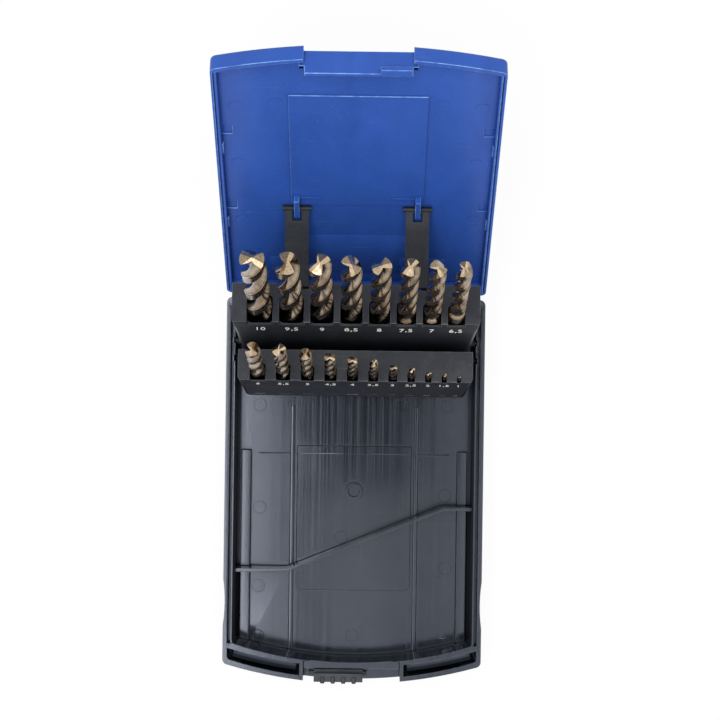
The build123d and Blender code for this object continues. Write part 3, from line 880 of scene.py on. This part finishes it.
def date_dial():
    """Bare mould dial: a ring round a disc with short teeth."""
    obj = low_disc(24, DIAL_RADIUS, DIAL_DEPTH)
    step_in(0.3, -0.18)
    bpy.ops.mesh.inset(thickness=0.5)
    step_in(0.6, 0.12)
    done()
    edit(obj, "FACE")
    inner, outer = TOOTH_RING
    for face in obj.data.polygons:
        if face.normal.z > 0.9 and inner < face.center.xy.length < outer:
            face.select = math.cos(math.atan2(face.center.y, face.center.x) * DIAL_TEETH) > 0
    bpy.ops.object.mode_set(mode="EDIT")
    bpy.ops.mesh.extrude_region_move(TRANSFORM_OT_translate={"value": (0, 0, TOOTH_RISE)})
    done()
    apply_modifier(obj, "BEVEL", width=0.03, segments=1, limit_method="ANGLE")
    smooth(obj, 8)
    return obj


def bare_triangle():
    """Plain triangular mould mark with an open middle."""
    obj = low_disc(3, TRIANGLE_RADIUS, MARK_DEPTH)
    step_in(0.5, -0.1)
    done()
    apply_modifier(obj, "BEVEL", width=0.05, segments=2, limit_method="ANGLE")
    smooth(obj)
    return obj


def plate(x0, x1, back0, back1, low, high, edge):
    """Thin bar or plate with rounded edges, in shut-case millimetres."""
    deselect()
    middle = ((x0 + x1) / 2, -(back0 + back1) / 2, (low + high) / 2)
    bpy.ops.mesh.primitive_cube_add(size=1, location=middle)
    obj = bpy.context.object
    obj.scale = (x1 - x0, back1 - back0, high - low)
    settle(obj)
    apply_modifier(obj, "BEVEL", width=edge, segments=2, limit_method="ANGLE", angle_limit=0.5)
    smooth(obj)
    return obj


def set_marks(mark, places, frame_matrix, up, name, flip=False):
    """Copies one mark to each place on a floor or roof and joins the copies."""
    copies = []
    for count, (x, back) in enumerate(places):
        obj = twin(mark, f"{name}_{count}")
        turn = Matrix.Rotation(math.pi if flip else 0, 4, "X")
        move(obj, frame_matrix @ Matrix.Translation((x, -back, up)) @ turn)
        copies.append(obj)
    bpy.data.objects.remove(mark)
    return joined(copies, name)


def floor_details():
    """Ejector marks, an insert seam and two mould marks on the tray's floor."""
    low = set_marks(ejector_mark(), FLOOR_MARKS, CASE, FLOOR_UP, "floor_ejector_marks")
    high = set_marks(ejector_mark(), PANEL_MARKS, CASE, FLOOR_UP + PANEL_RISE, "panel_ejector_mark")
    seam = plate(
        -SEAM_HALF, SEAM_HALF, SEAM_BACK, SEAM_BACK + SEAM_WIDTH,
        FLOOR_UP - SEAM_SINK, FLOOR_UP + SEAM_RISE, SEAM_ROUND)
    move(seam, CASE)
    seam.name = "floor_seam"
    dial = set_marks(date_dial(), DIAL_PLACES, CASE, FLOOR_UP, "mould_dial")
    mark = set_marks(bare_triangle(), TRIANGLE_PLACES, CASE, FLOOR_UP, "mould_triangle")
    for obj in (low, high, seam, dial, mark):
        finish_piece(obj, "tray", "tray_plastic")


def lid_details():
    """Ejector marks, the stepped plates behind the straps and the ribs beside the hooks."""
    marks = set_marks(ejector_mark(), LID_MARKS, LID, LID_ROOF_UP, "lid_ejector_marks", True)
    finish_piece(marks, "lid", "lid_plastic")
    plates = []
    for *sides, drop in STRAP_PLATES:
        plates.append(plate(*sides, LID_ROOF_UP - drop, LID_ROOF_UP + PLATE_SINK, PLATE_ROUND))
    far, near = (LID_ROOF_UP - drop for drop in HOOK_RIB_DROP)
    for x0, x1 in HOOK_RIBS:
        plates.append(plate(x0, x1, *HOOK_RIB_BACK, far, near, HOOK_RIB_ROUND))
    for obj in plates:
        move(obj, LID)
    finish_piece(joined(plates, "lid_plates"), "lid", "lid_plastic")


# The arc along the inner side of the two front channels, and their sloping linings, in millimetres.
ARC_RADIUS, ARC_CENTRE = 193.06, 36.06
LINING_FROM, LINING_TO, LINING_WIDTH = 23.4, 50.2, 3.2
LINING_MIDDLE, LINING_HEIGHT, LINING_SLOPE = -5.4, 7.6, 1.5
# The thumb ridges over the slider's top edge.
RIDGES, RIDGE_START, RIDGE_PITCH, RIDGE_HALF = 4, 3.7, 4.45, 0.9
RIDGE_BEHIND, RIDGE_AHEAD = 2.2, 0.68
RIDGE_LOW, RIDGE_HIGH, RIDGE_ROUND = 0.9, 1.95, 0.4


def channel_lining(side):
    """Sloping face on the wall of one front channel, with a slot left open in front of it."""
    near, far = (math.asin(x / ARC_RADIUS) for x in (LINING_FROM, LINING_TO))
    start = near if side > 0 else -far
    wall = ARC_CENTRE - ARC_RADIUS
    deselect()
    bpy.ops.mesh.primitive_plane_add(
        size=1, location=(0, wall - LINING_WIDTH / 2, LINING_MIDDLE), rotation=(0, math.pi / 2, 0))
    obj = bpy.context.object
    obj.scale = (LINING_HEIGHT, LINING_WIDTH, 1)
    settle(obj)
    edit(obj)
    pick(obj.data.vertices, lambda v: v.co.z > LINING_MIDDLE and v.co.y < wall - LINING_WIDTH / 2)
    bpy.ops.transform.translate(value=(0, 0, -LINING_SLOPE))
    done()
    about = Matrix.Translation((0, ARC_CENTRE, 0))
    move(obj, about @ Matrix.Rotation(start, 4, "Z") @ about.inverted())
    edit(obj)
    pick(obj.data.vertices, lambda v: True)
    bpy.ops.mesh.spin(steps=10, angle=near - far, center=(0, ARC_CENTRE, 0), axis=(0, 0, 1))
    done()
    outward(obj)
    apply_modifier(obj, "BEVEL", width=0.2, segments=2, limit_method="ANGLE")
    smooth(obj)
    move(obj, CASE)
    return obj


def front_details():
    """Linings of the two front channels, and the thumb ridges over the slider's top edge."""
    linings = joined([channel_lining(side) for side in (-1, 1)], "channel_linings")
    finish_piece(linings, "tray", "tray_plastic")
    ridges = []
    for count in range(RIDGES):
        x = SLIDER_LEFT + RIDGE_START + RIDGE_PITCH * count
        ridge = plate(
            x - RIDGE_HALF, x + RIDGE_HALF, SLIDER_FRONT - RIDGE_BEHIND, SLIDER_FRONT + RIDGE_AHEAD,
            RIDGE_LOW, RIDGE_HIGH, RIDGE_ROUND)
        move(ridge, CASE)
        ridges.append(ridge)
    finish_piece(joined(ridges, "slider_ridges"), "latch", "latch_plastic")


floor_details()
lid_details()
front_details()


# ---- Printed size numbers ----
PRINT_DROP = 0.69        # how far down its band a number's middle stands, as a share of the band
SIZE_PER_DIGIT = 1.42    # a text's size over the height of its digits
INK_THICKNESS = 0.02


def size_number(rack, size, x):
    """One printed size on the sloping band under its pocket."""
    deselect()
    bpy.ops.object.text_add()
    obj = bpy.context.object
    obj.name = "print_" + f"{size:.1f}".replace(".", "_")
    obj.data.body = f"{size:g}".replace(".", ",")
    obj.data.size = rack.digit * SIZE_PER_DIGIT
    obj.data.align_x = "CENTER"
    obj.data.space_character = 1.15
    obj.data.offset = 0.06
    obj.data.extrude = INK_THICKNESS
    obj.data.resolution_u = 4
    bpy.ops.object.convert(target="MESH")
    slope = Vector((0, rack.step, rack.band)).normalized()
    facing = Vector((0, -rack.band, rack.step)).normalized()
    low = rack.band * PRINT_DROP
    middle = Vector((x, rack.front + rack.step * (1 - PRINT_DROP), rack.top - rack.notch - low))
    band_place = Matrix(((1, 0, 0), slope, facing)).transposed().to_4x4()
    band_place.translation = middle - slope * rack.digit / 2 + facing * INK_THICKNESS
    move(obj, rack_place(rack) @ band_place)
    outward(obj)
    finish_piece(obj, rack.body, "rack_plastic", material=PRINT)


for rack in (UPPER, LOWER):
    for row, x in zip(rack.drills, pocket_places(rack)):
        size_number(rack, row[0], x)


# ---- Floor, light and camera, in metres ----
CARD_PLACE, CARD_SIZE = (-0.003, -0.05, 1.25), (0.166, 1.1)
FLOOR_SPREAD, FLOOR_GLOW = 6, 0.93
WORLD_LIGHT = 0.5
LENS, SENSOR = 117.5, 36         # in millimetres
CAMERA_PLACE, CAMERA_TURN = (0.0019, 0.0558, 1.0315), 0.78
# Name, place, aim, width, height, power and whether gloss shows it.
SOFT_BOXES = [
    ("left_box", (-0.21, -0.05, 1.3), (0, -0.05, 0.0), 0.9, 0.23, 5.2, True),
    ("right_box", (0.2, -0.05, 1.3), (0, -0.05, 0.0), 0.9, 0.23, 0.9, True),
    ("middle_box", (0.0, -0.28, 1.2), (0, -0.27, 0.0), 0.11, 0.44, 0.35, True),
    ("front_box", (0.0, -0.72, 1.15), (0, 0.06, 0.06), 0.9, 0.4, 2.2, True),
    ("top_box", (0.0, 0.1, 1.5), (0, 0.06, 0.0), 0.7, 0.7, 9.0, False),
]


def seen_rays(tree):
    """1 for rays from the camera, off gloss or through clear material, 0 for those that light."""
    path = put(tree, "LightPath").outputs
    seen = math_node(tree, "MAXIMUM", path["Is Camera Ray"], path["Is Glossy Ray"])
    return math_node(tree, "MAXIMUM", seen, path["Is Transmission Ray"])


def pale_floor():
    """White floor that takes a faint shadow."""
    deselect()
    bpy.ops.mesh.primitive_plane_add(size=FLOOR_SPREAD)
    obj = bpy.context.object
    obj.name = "studio_floor"
    material, tree, shader = new_material("white_floor", (0.9, 0.9, 0.9))
    shader["Base Color"].default_value = (0.88, 0.88, 0.88, 1)
    shader["Roughness"].default_value = 0.8
    glow = put(tree, "Emission", {"Strength": 1.0})
    mix = put(tree, "MixShader", {0: math_node(tree, "MULTIPLY", seen_rays(tree), FLOOR_GLOW)})
    tree.links.new(tree.nodes["Principled BSDF"].outputs[0], mix.inputs[1])
    tree.links.new(glow.outputs[0], mix.inputs[2])
    tree.links.new(mix.outputs[0], tree.nodes["Material Output"].inputs["Surface"])
    material.cycles.emission_sampling = "NONE"
    obj.data.materials.append(material)


def dark_card():
    """Dark card overhead that only gloss reflects, as round a product table."""
    deselect()
    bpy.ops.mesh.primitive_plane_add(size=1, location=CARD_PLACE)
    obj = bpy.context.object
    obj.name = "studio_card"
    obj.scale = (*CARD_SIZE, 1)
    settle(obj)
    material, _, shader = new_material("dark_card", (0.02, 0.02, 0.02))
    shader["Base Color"].default_value = (0.01, 0.01, 0.01, 1)
    shader["Roughness"].default_value = 1.0
    obj.data.materials.append(material)
    obj.visible_camera = obj.visible_diffuse = obj.visible_shadow = False


def soft_world():
    """White all round: full strength where it is seen, lower where it lights."""
    world = bpy.data.worlds.new("white_room")
    bpy.context.scene.world = world
    world.use_nodes = True
    tree = world.node_tree
    backdrop = tree.nodes["Background"].inputs
    tree.links.new(span(tree, seen_rays(tree), 0, 1, WORLD_LIGHT, 1.0), backdrop["Strength"])
    backdrop["Color"].default_value = (1, 1, 1, 1)


def soft_box(name, place, aim, width, height, power, glossy):
    """One studio soft box."""
    light = bpy.data.lights.new(name, "AREA")
    light.shape = "RECTANGLE"
    light.size, light.size_y, light.energy = width, height, power
    obj = bpy.data.objects.new(name, light)
    bpy.context.scene.collection.objects.link(obj)
    obj.location = place
    obj.rotation_euler = (Vector(aim) - Vector(place)).to_track_quat("-Z", "Y").to_euler()
    obj.visible_glossy = glossy


def set_camera():
    """Straight down from about a metre, turned by a hair."""
    lens = bpy.data.cameras.new("camera")
    lens.lens, lens.sensor_width = LENS, SENSOR
    camera = bpy.data.objects.new("camera", lens)
    bpy.context.scene.collection.objects.link(camera)
    camera.location = CAMERA_PLACE
    camera.rotation_euler = (0, 0, math.radians(CAMERA_TURN))
    bpy.context.scene.camera = camera


pale_floor()
soft_world()
for row in SOFT_BOXES:
    soft_box(*row)
dark_card()
set_camera()
bpy.context.scene.view_settings.view_transform = "Standard"
